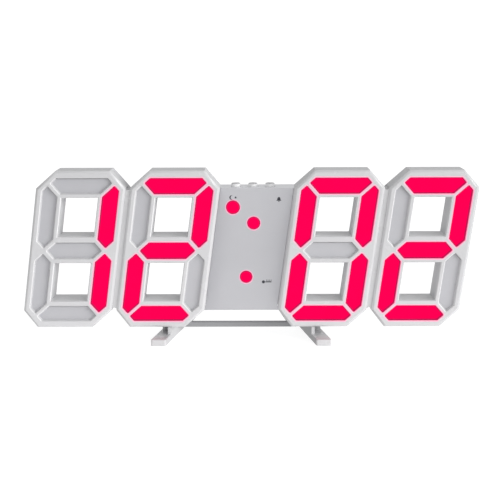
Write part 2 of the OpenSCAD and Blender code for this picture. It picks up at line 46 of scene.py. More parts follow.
# ---------------------------------------------------------------- dimensions
DH, DW, CH, SL = 76.0, 42.1, 8.15, 0.1345
PITCH, DEPTH, COVER = 45.25, 15.9, 2.0
SPLIT = DEPTH - COVER
POCKET, WALL, HOLE = 1.6, 1.6, 8.8
Y0, Z0 = -12.0, 8.2
MID, HW = DH / 2, DW / 2
FLARE, LOW_LEFT = 0.5, 0.8
EDGE = 110.5 - HW - FLARE - SL * (MID - CH + 0.4142 * FLARE)
CX = [-EDGE, -EDGE + PITCH, EDGE - PITCH, EDGE]
CW = CX[2] - HW - FLARE
XI, XO, ZM, MH = 10.75, HW - 2.45, 37.6, 4.05
TZ, BZ = (65.2, 72.95), (2.75, 10.25)
KT, KB = HW + DH - CH - 3.45, 8.9
KL = KB + 0.7 * LOW_LEFT
TM, BM = 54.35, 21.0
G = 1.7 * 0.7071
HL, HU = (12.75, 31.5), (44.5, 63.4)
PANEL, HOUSE = 13.6, 29.8
HB = HOUSE - 2
PZ = (4.9, 66.4)
WZ, WU = 12.0, 26.6
BOSS = 17.9
PIVOT_Y, STAND_X = 11.4, -4.1
SPLAY, TOE_X, TOE, HEEL = 0.182, 40.2, 8.0, 32.0
PIVOT_X = TOE_X - (PIVOT_Y + TOE) * SPLAY
LEG_W, LEG_T = 7.45, 3.2
RAIL_PT, RAIL_SZ = 26.2, 7.2
BX, BY, BP = SL * (PZ[1] - MID) - 2.05, 21.9, 8.5
LENS = [(-8.1, 56.85, 3.45), (2.1, 48.95, 3.25), (-1.7, 21.85, 3.15)]


def P(i, u, z):
    return (CX[i] + u + SL * (z - MID), z)


def C(u, z):
    return (u + SL * (z - MID), z)


def octo(m):
    m -= FLARE
    a, b, t, c = HW - m, m, DH - m, CH - 0.5858 * m
    return [(a - c, b), (a, b + c), (a, t - c), (a - c, t), (-a + c, t), (-a, t - c), (-a, b + c), (-a + c - LOW_LEFT, b)]


def rect(a, z0, z1):
    return [(-a, z0), (a, z0), (a, z1), (-a, z1)]


def at(i, p):
    return [P(i, u, z) for u, z in p]


def ctr(p):
    return [C(u, z) for u, z in p]


def flip(p):
    return [(-u, z) for u, z in p]


TIPT = (KT - TM - G) / 2
W_TOP = [(TZ[0] - TM - G, TZ[0]), (TIPT, KT - TIPT), (KT - TZ[1], TZ[1]),
         (-(KT - TZ[1]), TZ[1]), (-TIPT, KT - TIPT), (-(TZ[0] - TM - G), TZ[0])]
URT = (KT - TM + G) / 2
CU0 = 13.5 + ZM + 2 * G + 0.4
UD0 = ZM - 13.75
W_UR = [(XI, XI + TM - G), (URT, KT - URT), (XO, KT - XO), (XO, XO + UD0),
        ((CU0 - UD0) / 2, (CU0 + UD0) / 2), (XI, CU0 - XI)]


def w_low(k):
    return [(XI, 2 * ZM - (CU0 - XI)), ((CU0 - UD0) / 2, 2 * ZM - (CU0 + UD0) / 2), (XO, 2 * ZM - (XO + UD0)),
            (XO, XO - k), ((BM + G + k) / 2, (BM + G - k) / 2), (XI, BM + G - XI)]


W_BOT = [(BM - G - BZ[1], BZ[1]), ((BM - G + KB) / 2, (BM - G - KB) / 2), (BZ[0] + KB, BZ[0]),
         (-(BZ[0] + KL), BZ[0]), (-(BM - G + KL) / 2, (BM - G - KL) / 2), (-(BM - G - BZ[1]), BZ[1])]
W_MID = [(13.5, ZM), (13.5 - MH, ZM + MH), (-13.5 + MH, ZM + MH), (-13.5, ZM), (-13.5 + MH, ZM - MH), (13.5 - MH, ZM - MH)]
WIN = [W_TOP, W_UR, w_low(KB - 0.5), W_BOT, flip(w_low(KB - 0.5 + 1.1 * LOW_LEFT)), flip(W_UR), W_MID]
LIT_WINDOWS = [(1, 2), (0, 1, 6, 4, 3), (0, 1, 2, 3, 4, 5), (0, 1, 6, 4, 3)]


# ---------------------------------------------------------------- mesh tools
def area(p):
    return sum(p[k - 1][0] * p[k][1] - p[k][0] * p[k - 1][1] for k in range(len(p))) / 2


def ccw(p):
    return list(p) if area(p) > 0 else list(reversed(p))


def inset(poly, m):
    """The outline moved inwards by m, with mitred corners. poly runs counter-clockwise."""
    if abs(m) < 1e-9:
        return list(poly)
    out, n = [], len(poly)
    for k in range(n):
        (ax, ay), (bx, by), (cx, cy) = poly[k - 1], poly[k], poly[(k + 1) % n]
        l1, l2 = math.hypot(bx - ax, by - ay), math.hypot(cx - bx, cy - by)
        n1 = (-(by - ay) / l1, (bx - ax) / l1)
        n2 = (-(cy - by) / l2, (cx - bx) / l2)
        s = m / (1 + n1[0] * n2[0] + n1[1] * n2[1])
        out.append((bx + (n1[0] + n2[0]) * s, by + (n1[1] + n2[1]) * s))
    return out


def fillet(b, n=4):
    """(inset, depth) from the face to the side wall of a rounded edge."""
    return [(b * (1 - math.sin(t)), b * (1 - math.cos(t))) for t in [math.pi / 2 * k / n for k in range(n + 1)]]


def bevel(b, r):
    """(inset, depth) of a 45 degree bevel b wide, its two corners eased over r."""
    q, pts = r * 0.7071, []
    for p0, p1, p2 in [((b + r, 0), (b, 0), (b - q, q)), ((q, b - q), (0, b), (0, b + r))]:
        for t in (0, 0.33, 0.67, 1):
            pts.append(tuple((1 - t) ** 2 * p0[k] + 2 * t * (1 - t) * p1[k] + t * t * p2[k] for k in (0, 1)))
    return pts


def ends(d0, e0, d1, e1):
    """Rings of a bar from depth d0 to d1 with the edge profiles e0 and e1."""
    return [(m, d0 + d) for m, d in e0] + [(m, d1 - d) for m, d in reversed(e1)]


SQUARE = [(0, 0)]


def along_y(x, z, d):
    return (x, Y0 + d, Z0 + z)


def along_z(x, y, d):
    return (x, Y0 + y, d)


def prism(poly, rings, place=along_y):
    """A closed solid as (points, faces): the outline poly at each (inset, depth) ring."""
    poly = ccw(poly)
    n, pts, faces = len(poly), [], []
    for m, d in rings:
        pts += [place(x, z, d) for x, z in inset(poly, m)]
    for r in range(len(rings) - 1):
        for k in range(n):
            a, b = r * n + k, r * n + (k + 1) % n
            faces.append((a, b, b + n, a + n))
    faces.append(tuple(reversed(range(n))))
    faces.append(tuple(range((len(rings) - 1) * n, len(rings) * n)))
    return pts, faces


def circle(x, y, r, n=40):
    return [(x + r * math.cos(2 * math.pi * k / n), y + r * math.sin(2 * math.pi * k / n)) for k in range(n)]


def rod(p, r, a, b, e0=SQUARE, e1=SQUARE, n=40, place=along_y):
    return prism(circle(p[0], p[1], r, n), ends(a, e0, b, e1), place)


def rounded(poly, r, n=5):
    """poly with each corner rounded to radius r."""
    poly, out = ccw(poly), []
    for k in range(len(poly)):
        a, b, c = (Vector(poly[j % len(poly)]) for j in (k - 1, k, k + 1))
        u, v = (a - b).normalized(), (c - b).normalized()
        half = u.angle(v) / 2
        t = min(r / math.tan(half), 0.49 * (a - b).length, 0.49 * (c - b).length)
        rr = t * math.tan(half)
        o = b + (u + v).normalized() * (rr / math.sin(half))
        p, q = b + u * t - o, b + v * t - o
        turn = p.angle_signed(q)
        for j in range(n + 1):
            w = -turn * j / n
            out.append((o.x + p.x * math.cos(w) - p.y * math.sin(w), o.y + p.x * math.sin(w) + p.y * math.cos(w)))
    return out


def stadium(cx, cy, w, l, n=12):
    """w wide along x, l long along y, with round ends."""
    h, r = (l - w) / 2, w / 2
    return ([(cx + r * math.cos(math.pi * k / n), cy + h + r * math.sin(math.pi * k / n)) for k in range(n + 1)]
            + [(cx - r * math.cos(math.pi * k / n), cy - h - r * math.sin(math.pi * k / n)) for k in range(n + 1)])


def through(poly, a, b, lip0=0.0, lip1=0.0, place=along_y, n=4):
    """A cutter from depth a to b past both faces, whose edges leave a rounded lip at each face."""
    rings = []
    if lip0:
        arc = [(-m, a + d) for m, d in fillet(lip0, n)][1:]
        rings += [(arc[0][0], a - 0.6)] + arc
    else:
        rings += [(0, a - 0.6)]
    if lip1:
        arc = [(-m, b - d) for m, d in fillet(lip1, n)][1:]
        rings += list(reversed(arc)) + [(arc[0][0], b + 0.6)]
    else:
        rings += [(0, b + 0.6)]
    return prism(poly, rings, place)


DRAFT = 0.52
LIP = [(-0.26, 0.025), (-0.12, 0.09), (-0.02, 0.18), (0.06, 0.32), (DRAFT, POCKET)]
CORNER = 0.62


def window(poly, lit):
    """A cutter through the face plate with a rounded lip and walls that close in towards the diffuser.
    Around a lit window the lip starts further out, in a shallow ring that carries a painted glow of the segment light."""
    start = [(-0.78, -0.6), (-0.78, -0.003), (-0.58, 0.006), (-0.40, 0.014)] if lit else [(-0.42, -0.6), (-0.42, 0)]
    return prism(rounded(poly, CORNER, 3), start + LIP + [(DRAFT, POCKET + 0.6)])


def pocket(poly, a, floor, lip=0.2, place=along_y, back=False, n=3):
    """A blind cutter from the face at depth a to the floor."""
    s = -1 if back else 1
    arc = [(-m, a + s * d) for m, d in fillet(lip, n)][1:]
    rings = [(arc[0][0], a - s * 0.6)] + arc + [(0, floor)]
    return prism(poly, rings if not back else rings[::-1], place)


def as_object(name, parts):
    """One object of several closed solids that don't meet."""
    bm = bmesh.new()
    for pts, faces in parts:
        vs = [bm.verts.new(p) for p in pts]
        for f in faces:
            bm.faces.new([vs[k] for k in f])
    bmesh.ops.recalc_face_normals(bm, faces=bm.faces)
    me = bpy.data.meshes.new(name)
    bm.to_mesh(me)
    bm.free()
    ob = bpy.data.objects.new(name, me)
    scene.collection.objects.link(ob)
    return ob


def boole(ob, op, parts):
    """ob joined with, or cut by, one group of solids that don't meet each other."""
    tool = as_object("tool", parts) if isinstance(parts, list) else parts
    mod = ob.modifiers.new("b", "BOOLEAN")
    mod.operation, mod.object, mod.solver = op, tool, "MANIFOLD"
    bpy.context.view_layer.update()
    me = bpy.data.meshes.new_from_object(ob.evaluated_get(bpy.context.evaluated_depsgraph_get()))
    ob.modifiers.clear()
    old, ob.data = ob.data, me
    bpy.data.meshes.remove(old)
    bpy.data.objects.remove(tool)
    return ob


def build(name, first, *steps):
    ob = as_object(name, first)
    for op, parts in steps:
        boole(ob, {"+": "UNION", "-": "DIFFERENCE", "*": "INTERSECT"}[op], parts)
    return ob


def done(ob, body, material, stands_for=(), sharp=34):
    """Metres, clean edges and shading, material, and the body that the piece rides on."""
    me = ob.data
    bm = bmesh.new()
    bm.from_mesh(me)
    bmesh.ops.remove_doubles(bm, verts=bm.verts, dist=0.0008)
    bmesh.ops.dissolve_degenerate(bm, edges=bm.edges, dist=0.0004)
    bmesh.ops.dissolve_limit(bm, angle_limit=math.radians(0.4), verts=bm.verts, edges=bm.edges, delimit={"NORMAL"})
    bmesh.ops.recalc_face_normals(bm, faces=bm.faces)
    bmesh.ops.triangulate(bm, faces=[f for f in bm.faces if len(f.verts) > 4])
    for f in bm.faces:
        f.smooth = True
    for e in bm.edges:
        e.smooth = len(e.link_faces) == 2 and e.calc_face_angle(0) < math.radians(sharp)
    bmesh.ops.scale(bm, vec=(MM, MM, MM), verts=bm.verts)
    bm.to_mesh(me)
    bm.free()
    me.materials.clear()
    me.materials.append(material)
    wn = ob.modifiers.new("even_shading", "WEIGHTED_NORMAL")
    wn.keep_sharp, wn.weight = True, 80
    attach(ob, body)
    if stands_for:
        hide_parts(*stands_for)
    return ob


# ---------------------------------------------------------------- materials
def shader(name):
    m = bpy.data.materials.new(name)
    m.use_nodes = True
    nt = m.node_tree
    nt.nodes.clear()
    out = nt.nodes.new("ShaderNodeOutputMaterial")
    bs = nt.nodes.new("ShaderNodeBsdfPrincipled")
    nt.links.new(bs.outputs[0], out.inputs[0])
    co = nt.nodes.new("ShaderNodeTexCoord")
    return m, nt, bs, co.outputs["Object"]


def noise(nt, where, scale, detail=3.0, rough=0.5, stretch=None):
    if stretch:
        mp = nt.nodes.new("ShaderNodeMapping")
        mp.inputs["Scale"].default_value = stretch
        nt.links.new(where, mp.inputs[0])
        where = mp.outputs[0]
    n = nt.nodes.new("ShaderNodeTexNoise")
    n.inputs["Scale"].default_value = scale
    n.inputs["Detail"].default_value = detail
    n.inputs["Roughness"].default_value = rough
    nt.links.new(where, n.inputs["Vector"])
    return n.outputs["Fac"]


def spread(nt, value, lo, hi, a=0.3, b=0.7):
    n = nt.nodes.new("ShaderNodeMapRange")
    n.inputs["From Min"].default_value, n.inputs["From Max"].default_value = a, b
    n.inputs["To Min"].default_value, n.inputs["To Max"].default_value = lo, hi
    nt.links.new(value, n.inputs["Value"])
    return n.outputs["Result"]


def two(nt, fac, c0, c1):
    n = nt.nodes.new("ShaderNodeMix")
    n.data_type = "RGBA"
    rgba = [s for s in n.inputs if s.type == "RGBA"]
    rgba[0].default_value, rgba[1].default_value = (*c0, 1), (*c1, 1)
    nt.links.new(fac, n.inputs["Factor"])
    return next(s for s in n.outputs if s.type == "RGBA")


def bump(nt, bs, height, strength, dist):
    n = nt.nodes.new("ShaderNodeBump")
    n.inputs["Strength"].default_value = strength
    n.inputs["Distance"].default_value = dist
    nt.links.new(height, n.inputs["Height"])
    nt.links.new(n.outputs[0], bs.inputs["Normal"])


def finish_of(name, c0, c1, rough, mottle=35, grain=4200, grain_bump=0.12, spec=0.5, metallic=0.0,
              stretch=None, sub=0.0, sub_r=(1, 1, 1), coat=0.0, smudge=90):
    """Moulded or worked surface: slow colour drift, uneven gloss and a fine moulded grain."""
    m, nt, bs, co = shader(name)
    nt.links.new(two(nt, spread(nt, noise(nt, co, mottle, 4), 0, 1), c0, c1), bs.inputs["Base Color"])
    nt.links.new(spread(nt, noise(nt, co, smudge, 5, 0.6, stretch), rough[0], rough[1]), bs.inputs["Roughness"])
    bump(nt, bs, noise(nt, co, grain, 2, 0.5, stretch), grain_bump, 0.00002)
    bs.inputs["Specular IOR Level"].default_value = spec
    bs.inputs["Metallic"].default_value = metallic
    if coat:
        bs.inputs["Coat Weight"].default_value = coat
        bs.inputs["Coat Roughness"].default_value = 0.2
    if sub:
        bs.inputs["Subsurface Weight"].default_value = sub
        bs.inputs["Subsurface Radius"].default_value = sub_r
        bs.inputs["Subsurface Scale"].default_value = 0.0006
    return m


def lit(name, low, high, colour=(1.0, 0.0004, 0.084, 1), base=(0.03, 0.0, 0.003, 1), spec=0.0):
    """Glowing plastic: one hue, a slow drift in brightness and a fine frosted grain. Also serves as a painted glow of
    that light on the white plastic around it.
    """
    m, nt, bs, co = shader(name)
    bs.inputs["Base Color"].default_value = base
    nt.links.new(spread(nt, noise(nt, co, 160, 2), 0.40, 0.55), bs.inputs["Roughness"])
    bs.inputs["Specular IOR Level"].default_value = spec
    bs.inputs["Emission Color"].default_value = colour
    nt.links.new(spread(nt, noise(nt, co, 140, 2), low, high), bs.inputs["Emission Strength"])
    bump(nt, bs, noise(nt, co, 5200, 2), 0.10, 0.00002)
    return m


WHITE = finish_of("white_moulding", (0.580, 0.580, 0.592), (0.602, 0.602, 0.612), (0.20, 0.30), spec=0.5, sub=0.12, grain_bump=0.06)
# deep sides: matte, and a little darker than the front as painted shade
SIDE = finish_of("white_side_matte_painted_shade", (0.560, 0.560, 0.572), (0.582, 0.582, 0.592), (0.55, 0.68), spec=0.08, sub=0.12)
# painted highlight on the lips of the dark windows that face the light
LIP_HIGHLIGHT = finish_of("window_lip_painted_highlight", (0.700, 0.700, 0.705), (0.725, 0.725, 0.730), (0.26, 0.34), spec=0.4, sub=0.12)
# painted highlight on the hole lips that face the light
HOLE_LIP_HIGHLIGHT = finish_of("hole_lip_painted_highlight", (0.745, 0.745, 0.750), (0.765, 0.765, 0.770), (0.26, 0.34), spec=0.4, sub=0.12)
# painted shade on the low bevels that face away from the light
LOW_BEVEL_SHADE = finish_of("low_bevel_painted_shade", (0.490, 0.490, 0.500), (0.515, 0.515, 0.525), (0.36, 0.46), spec=0.25, sub=0.12)
# painted shade on the walls facing down in the dark windows
WALL_SHADE = finish_of("window_wall_painted_shade", (0.360, 0.360, 0.368), (0.385, 0.385, 0.392), (0.50, 0.62), spec=0.1)
# painted light: the hole floors brighter than the plastic around them
HOLE_FLOOR_LIGHT = finish_of("hole_floor_painted_light", (0.672, 0.672, 0.680), (0.696, 0.696, 0.703), (0.50, 0.62), spec=0.1, sub=0.12)
# painted shade on the feet: inner sides, and the fin and post under the digit
FOOT_SIDE_SHADE = finish_of("foot_side_painted_shade", (0.300, 0.300, 0.308), (0.330, 0.330, 0.338), (0.45, 0.58), spec=0.15)
FOOT_LIT_SIDE_SHADE = finish_of("foot_lit_side_painted_shade", (0.500, 0.500, 0.508), (0.530, 0.530, 0.536), (0.45, 0.58), spec=0.15)
FOOT_SHADE = finish_of("foot_post_painted_shade", (0.300, 0.300, 0.308), (0.330, 0.330, 0.338), (0.50, 0.62), spec=0.1)
BACK = finish_of("white_back_moulding", (0.585, 0.585, 0.597), (0.607, 0.607, 0.617), (0.50, 0.62), grain=2600, grain_bump=0.35, spec=0.15)
PANEL_M = finish_of("grey_panel_finish", (0.545, 0.547, 0.572), (0.570, 0.572, 0.597), (0.36, 0.46))
# painted shade: the rail darkened for the shade under the digits and the housing
RAIL_SHADE = finish_of("rail_painted_shade", (0.270, 0.272, 0.280), (0.305, 0.307, 0.315), (0.38, 0.50))
DARK_SEG = finish_of("frosted_diffuser", (0.464, 0.464, 0.488), (0.483, 0.483, 0.504), (0.42, 0.55), mottle=120, grain=5200, spec=0.3)
LIT = lit("lit_diffuser", 0.97, 1.04)
# painted glow: the segment light painted onto the white walls, lips and rim around the lit windows
LIT_WALL = lit("window_wall_painted_glow", 0.93, 1.03, (0.52, 0.002, 0.075, 1), (0.05, 0.012, 0.02, 1), 0.02)
LIT_LIP = lit("window_lip_painted_glow", 0.92, 1.04, (0.56, 0.05, 0.17, 1), (0.44, 0.38, 0.42, 1), 0.3)
LIT_RIM = lit("window_rim_painted_glow", 0.92, 1.04, (0.24, 0.012, 0.075, 1), (0.60, 0.545, 0.575, 1), 0.3)
LENS_RIM = lit("lit_lens_rim", 0.93, 1.03, (0.56, 0.004, 0.085, 1), (0.04, 0.01, 0.015, 1), 0.1)
# painted glow of the indicator light on the panel around each lens
LENS_HALO = lit("lens_seat_painted_glow", 0.92, 1.04, (0.40, 0.02, 0.12, 1), (0.58, 0.50, 0.55, 1), 0.3)
# button sides painted lighter as a painted highlight, tops darker as painted shade
CAP_SIDE_HIGHLIGHT = finish_of("button_side_painted_highlight", (0.86, 0.86, 0.865), (0.88, 0.88, 0.885), (0.26, 0.36), spec=0.5)
CAP_TOP_SHADE = finish_of("button_top_painted_shade", (0.43, 0.43, 0.44), (0.46, 0.46, 0.47), (0.40, 0.50), spec=0.2)
PAD_M = finish_of("soft_pad", (0.30, 0.30, 0.305), (0.36, 0.36, 0.365), (0.75, 0.88), grain=2200, grain_bump=0.5, spec=0.3)
STEEL = finish_of("screw_steel", (0.52, 0.53, 0.55), (0.62, 0.63, 0.65), (0.24, 0.40), mottle=400, metallic=1.0, smudge=900)
CELL = finish_of("cell_steel_finish", (0.68, 0.69, 0.70), (0.76, 0.77, 0.78), (0.18, 0.32), mottle=200, metallic=1.0, stretch=(1, 30, 1), smudge=300)
CONTACT = finish_of("sprung_brass", (0.66, 0.52, 0.27), (0.74, 0.60, 0.34), (0.22, 0.36), mottle=300, metallic=1.0, smudge=600)
SOCKET = finish_of("plated_socket", (0.62, 0.62, 0.64), (0.72, 0.72, 0.74), (0.20, 0.34), mottle=500, metallic=1.0, smudge=700)
BLACK = finish_of("black_moulding", (0.018, 0.018, 0.020), (0.032, 0.032, 0.035), (0.42, 0.55), grain=3000, grain_bump=0.25)
BOARD = finish_of("white_solder_mask", (0.78, 0.79, 0.76), (0.84, 0.85, 0.82), (0.36, 0.46), mottle=220, coat=0.3)
LED_M = finish_of("led_package_finish", (0.80, 0.78, 0.55), (0.86, 0.84, 0.66), (0.30, 0.42), mottle=900, sub=0.3)
TAN = finish_of("chip_tan_finish", (0.42, 0.30, 0.19), (0.52, 0.38, 0.25), (0.45, 0.58), mottle=900)
ORANGE = finish_of("plunger_orange_finish", (0.62, 0.12, 0.03), (0.70, 0.16, 0.05), (0.40, 0.52), mottle=600)
NYLON = finish_of("washer_nylon_finish", (0.60, 0.60, 0.59), (0.66, 0.66, 0.65), (0.50, 0.62), mottle=300, sub=0.1)
RIBBON = finish_of("ribbon_sheath", (0.60, 0.60, 0.62), (0.68, 0.68, 0.70), (0.40, 0.52), mottle=500, stretch=(1, 1, 40), grain=900, grain_bump=0.6)
INK = finish_of("printed_mark", (0.030, 0.032, 0.045), (0.060, 0.062, 0.075), (0.50, 0.62), mottle=1500)


def green_board():
    """Green solder mask over a weave of copper tracks."""
    m, nt, bs, co = shader("green_solder_mask")
    br = nt.nodes.new("ShaderNodeTexBrick")
    br.inputs["Scale"].default_value = 260
    br.inputs["Mortar Size"].default_value = 0.03
    br.inputs["Color1"].default_value = (0.010, 0.100, 0.045, 1)
    br.inputs["Color2"].default_value = (0.014, 0.125, 0.055, 1)
    br.inputs["Mortar"].default_value = (0.035, 0.210, 0.095, 1)
    mp = nt.nodes.new("ShaderNodeMapping")
    mp.inputs["Rotation"].default_value = (math.radians(90), 0, 0)
    nt.links.new(co, mp.inputs[0])
    nt.links.new(mp.outputs[0], br.inputs["Vector"])
    nt.links.new(br.outputs["Color"], bs.inputs["Base Color"])
    nt.links.new(spread(nt, noise(nt, co, 400, 3), 0.28, 0.42), bs.inputs["Roughness"])
    bump(nt, bs, br.outputs["Fac"], 0.2, 0.00003)
    return m


GREEN = green_board()

# ---------------------------------------------------------------- camera
F_PX, TILT, YAW, ROLL = 1087.4, math.radians(9.84), math.radians(-0.22), math.radians(-0.18)
cam_data = bpy.data.cameras.new("camera")
cam_data.sensor_fit, cam_data.sensor_width = "HORIZONTAL", 36.0
cam_data.lens = F_PX / 500 * 36.0
cam_data.clip_start, cam_data.clip_end = 0.02, 60
cam = bpy.data.objects.new("camera", cam_data)
scene.collection.objects.link(cam)
fw = Vector((math.sin(YAW) * math.cos(TILT), math.cos(YAW) * math.cos(TILT), -math.sin(TILT)))
rt = Vector((math.cos(YAW), -math.sin(YAW), 0))
up = rt.cross(fw)
r2 = rt * math.cos(ROLL) + up * math.sin(ROLL)
u2 = -rt * math.sin(ROLL) + up * math.cos(ROLL)
cam.matrix_world = Matrix.Translation(Vector((2.3, -529.7, 139.6)) * MM) @ Matrix((r2, u2, -fw)).transposed().to_4x4()
scene.camera = cam

# ---------------------------------------------------------------- digit shells
EDGE_BEVEL = bevel(1.05, 0.3)
SEAM = [(0.14, 0), (0, 0.14)]


WEB_Z = (CH + 0.1, DH - CH - 0.1)


NOTCH = 0.9


def middle(i, z):
    """The middle of the gap after digit i at one height."""
    a, b = P(i, HW, z), P(i + 1, -HW, z)
    return ((a[0] + b[0]) / 2, (a[1] + b[1]) / 2)


def between(i, z0, z1, v0=0.0, v1=0.0):
    """Outline of the web; v0 and v1 notch its lower and its upper edge in the middle."""
    return [P(i, HW - 1, z0), P(i, HW - 0.2, z0), middle(i, z0 + v0), P(i + 1, -HW + 0.2, z0), P(i + 1, -HW + 1, z0),
            P(i + 1, -HW + 1, z1), P(i + 1, -HW + 0.2, z1), middle(i, z1 - v1), P(i, HW - 0.2, z1), P(i, HW - 1, z1)]


def shell(name, i, s, body, node):
    parts = None
    for k in (i, i + 1):
        o = at(k, octo(0))
        one = build(name if parts is None else "other",
                    [prism(o, ends(0, EDGE_BEVEL, SPLIT, SEAM))],
                    ("-", [prism(at(k, octo(WALL)), [(0, POCKET), (0, SPLIT + 2)])]),
                    ("+", [prism(at(k, rect(HOLE + 1.3, z0 - 1.3, z1 + 1.3)), [(0, 0.8), (0, SPLIT)]) for z0, z1 in (HL, HU)]),
                    ("+", [rod(P(k, u, ZM), 2.2, 1.2, SPLIT) for u in (-BOSS, BOSS)]),
                    ("-", [rod(P(k, u, ZM), 0.9, 4.5, SPLIT + 1) for u in (-BOSS, BOSS)]),
                    ("-", [through(at(k, rect(HOLE, z0, z1)), 0, SPLIT, lip0=0.62) for z0, z1 in (HL, HU)]),
                    ("-", [window(at(k, w), n in LIT_WINDOWS[k]) for n, w in enumerate(WIN)]))
        if parts is None:
            parts = one
        else:
            boole(parts, "UNION", one)
    boole(parts, "UNION", [prism(between(i, *WEB_Z, NOTCH, NOTCH), ends(1.4, SQUARE, 3.4, SQUARE))])
    boole(parts, "UNION", [prism(between(i, WEB_Z[0], WEB_Z[0] + 2.5, NOTCH, 0), ends(2.4, SQUARE, SPLIT, SQUARE)),
                           prism(between(i, WEB_Z[1] - 2.5, WEB_Z[1], 0, NOTCH), ends(2.4, SQUARE, SPLIT, SQUARE))])
    px = STAND_X + s * PIVOT_X
    boole(parts, "UNION", [rod((px, PIVOT_Y), 2.2, Z0 + 0.3, Z0 + 8.5, place=along_z)])
    boole(parts, "DIFFERENCE", [rod((px, PIVOT_Y), 1.22, Z0 - 1, Z0 + 7.2, place=along_z)])
    done(parts, body, WHITE, [node])
    light_up(parts, (i, i + 1))


def inside(q, poly, m):
    """Whether q lies inside the counter-clockwise convex outline poly moved outwards by m."""
    for k in range(len(poly)):
        (ax, az), (bx, bz) = poly[k - 1], poly[k]
        if ((bx - ax) * (q[1] - az) - (bz - az) * (q[0] - ax)) / math.hypot(bx - ax, bz - az) < -m:
            return False
    return True


def hole_floor(f, z):
    """Whether a face is the floor of one of the through holes; z is its height."""
    return f.normal.z > 0.7 and min(abs(z - HL[0]), abs(z - HU[0])) < 0.7


def light_up(ob, digits):
    """Walls and lips of the lit windows, and a rim around them, get a painted glow of the segment light.
    The deep sides are duller than the front and a little darker as painted shade. In the dark windows the lips facing
    right get a painted highlight and the walls facing down a painted shade.
    The hole floors get painted light, the hole lips facing right a painted highlight, and the low bevels facing left
    and down a painted shade."""
    me = ob.data
    for m in (LIT_WALL, LIT_LIP, LIT_RIM, SIDE, LIP_HIGHLIGHT, WALL_SHADE, HOLE_FLOOR_LIGHT, HOLE_LIP_HIGHLIGHT, LOW_BEVEL_SHADE):
        me.materials.append(m)
    holes = [at(k, rect(HOLE, z0, z1)) for k in digits for z0, z1 in (HL, HU)]
    dark = [ccw(at(k, WIN[w])) for k in digits for w in range(7) if w not in LIT_WINDOWS[k]]
    lit = [ccw(at(k, WIN[w])) for k in digits for w in LIT_WINDOWS[k]]
    for f in me.polygons:
        x, y, z = f.center.x / MM, f.center.y / MM - Y0, f.center.z / MM - Z0
        # painted glow of the segment light on the walls, lip and rim of a lit window
        if 0.001 < y < POCKET - 0.01 and any(inside((x, z), w, 0.85) for w in lit):
            f.material_index = 1 if y > 0.15 else 2 if y > 0.009 else 3
        # deep faces: matte, with a slightly darker colour as painted shade
        elif y > POCKET + 0.2:
            # the hole floors get painted light; the other deep faces take the matte side colour
            f.material_index = 7 if hole_floor(f, z) else 4
        # dark windows: painted highlight on the lips facing right, painted shade on the walls facing down
        elif 0.02 < y < POCKET - 0.01 and any(inside((x, z), w, 0.5) for w in dark):
            f.material_index = 5 if f.normal.x > 0.2 and y < 0.3 else 6 if f.normal.z < -0.45 and f.normal.x <= 0.2 and y > 0.1 else 0
        # painted highlight on the hole lips facing right
        elif 0.005 < y < 0.7 and f.normal.x > 0.15 and any(inside((x, z), ccw(h), 0.75) for h in holes):
            f.material_index = 8
        # painted shade on the low bevels facing left and down
        elif y > 0.005 and z < 12 and f.normal.x < -0.2 and f.normal.z < -0.2:
            f.material_index = 9


shell("left_shell_moulding", 0, -1, "clock_body", "left_digit_shell")
shell("right_shell_moulding", 2, 1, "clock_body", "right_digit_shell")


# ---------------------------------------------------------------- rear covers of the digit pairs
def pair_outline(i):
    o = octo(0)
    # counter-clockwise: bottom right, right low, right high, top right, top left, left high, left low, bottom left
    br, rl, rh, tr, tl, lh, ll, bl = o
    left = [P(i, *q) for q in (bl, br, rl)]
    right = [P(i + 1, *q) for q in (ll, bl, br, rl, rh, tr, tl, lh)]
    return (left + [middle(i, WEB_Z[0] + NOTCH)] + right + [middle(i, WEB_Z[1] - NOTCH)]
            + [P(i, *q) for q in (rh, tr, tl, lh, ll)])


def pair_cover(name, i, node):
    heads = [P(k, u, ZM) for k in (i, i + 1) for u in (-BOSS, BOSS)]
    ob = build(name, [prism(pair_outline(i), ends(SPLIT, SEAM, DEPTH, fillet(0.8)))],
               ("-", [through(at(k, rect(HOLE, z0, z1)), SPLIT, DEPTH, lip1=0.45) for k in (i, i + 1) for z0, z1 in (HL, HU)]),
               ("-", [pocket(circle(p[0], p[1], 1.9), DEPTH, DEPTH - 1, 0.25, back=True) for p in heads]),
               ("-", [rod(p, 1.1, SPLIT - 1, DEPTH + 1) for p in heads]))
    ob = done(ob, "clock_body", BACK, [node])
    # painted light: the hole floors of the cover are brighter than the rest
    ob.data.materials.append(HOLE_FLOOR_LIGHT)
    for f in ob.data.polygons:
        if hole_floor(f, f.center.z / MM - Z0):
            f.material_index = 1
    return ob


pair_cover("left_cover_moulding", 0, "left_rear_cover")
pair_cover("right_cover_moulding", 2, "right_rear_cover")

# ---------------------------------------------------------------- centre housing
GAP = 0.05


def neck(m):
    return ctr([(-CW + GAP + m, PZ[0] + m), (CW - GAP - m, PZ[0] + m), (CW - GAP - m, PZ[1] - m), (-CW + GAP + m, PZ[1] - m)])


def tee(m):
    return ctr([(-CW + GAP + m, PZ[0] + m), (CW - GAP - m, PZ[0] + m), (CW - GAP - m, WZ + m), (WU - m, WZ + m),
                (WU - m, PZ[1] - m), (-WU + m, PZ[1] - m), (-WU + m, WZ + m), (-CW + GAP + m, WZ + m)])


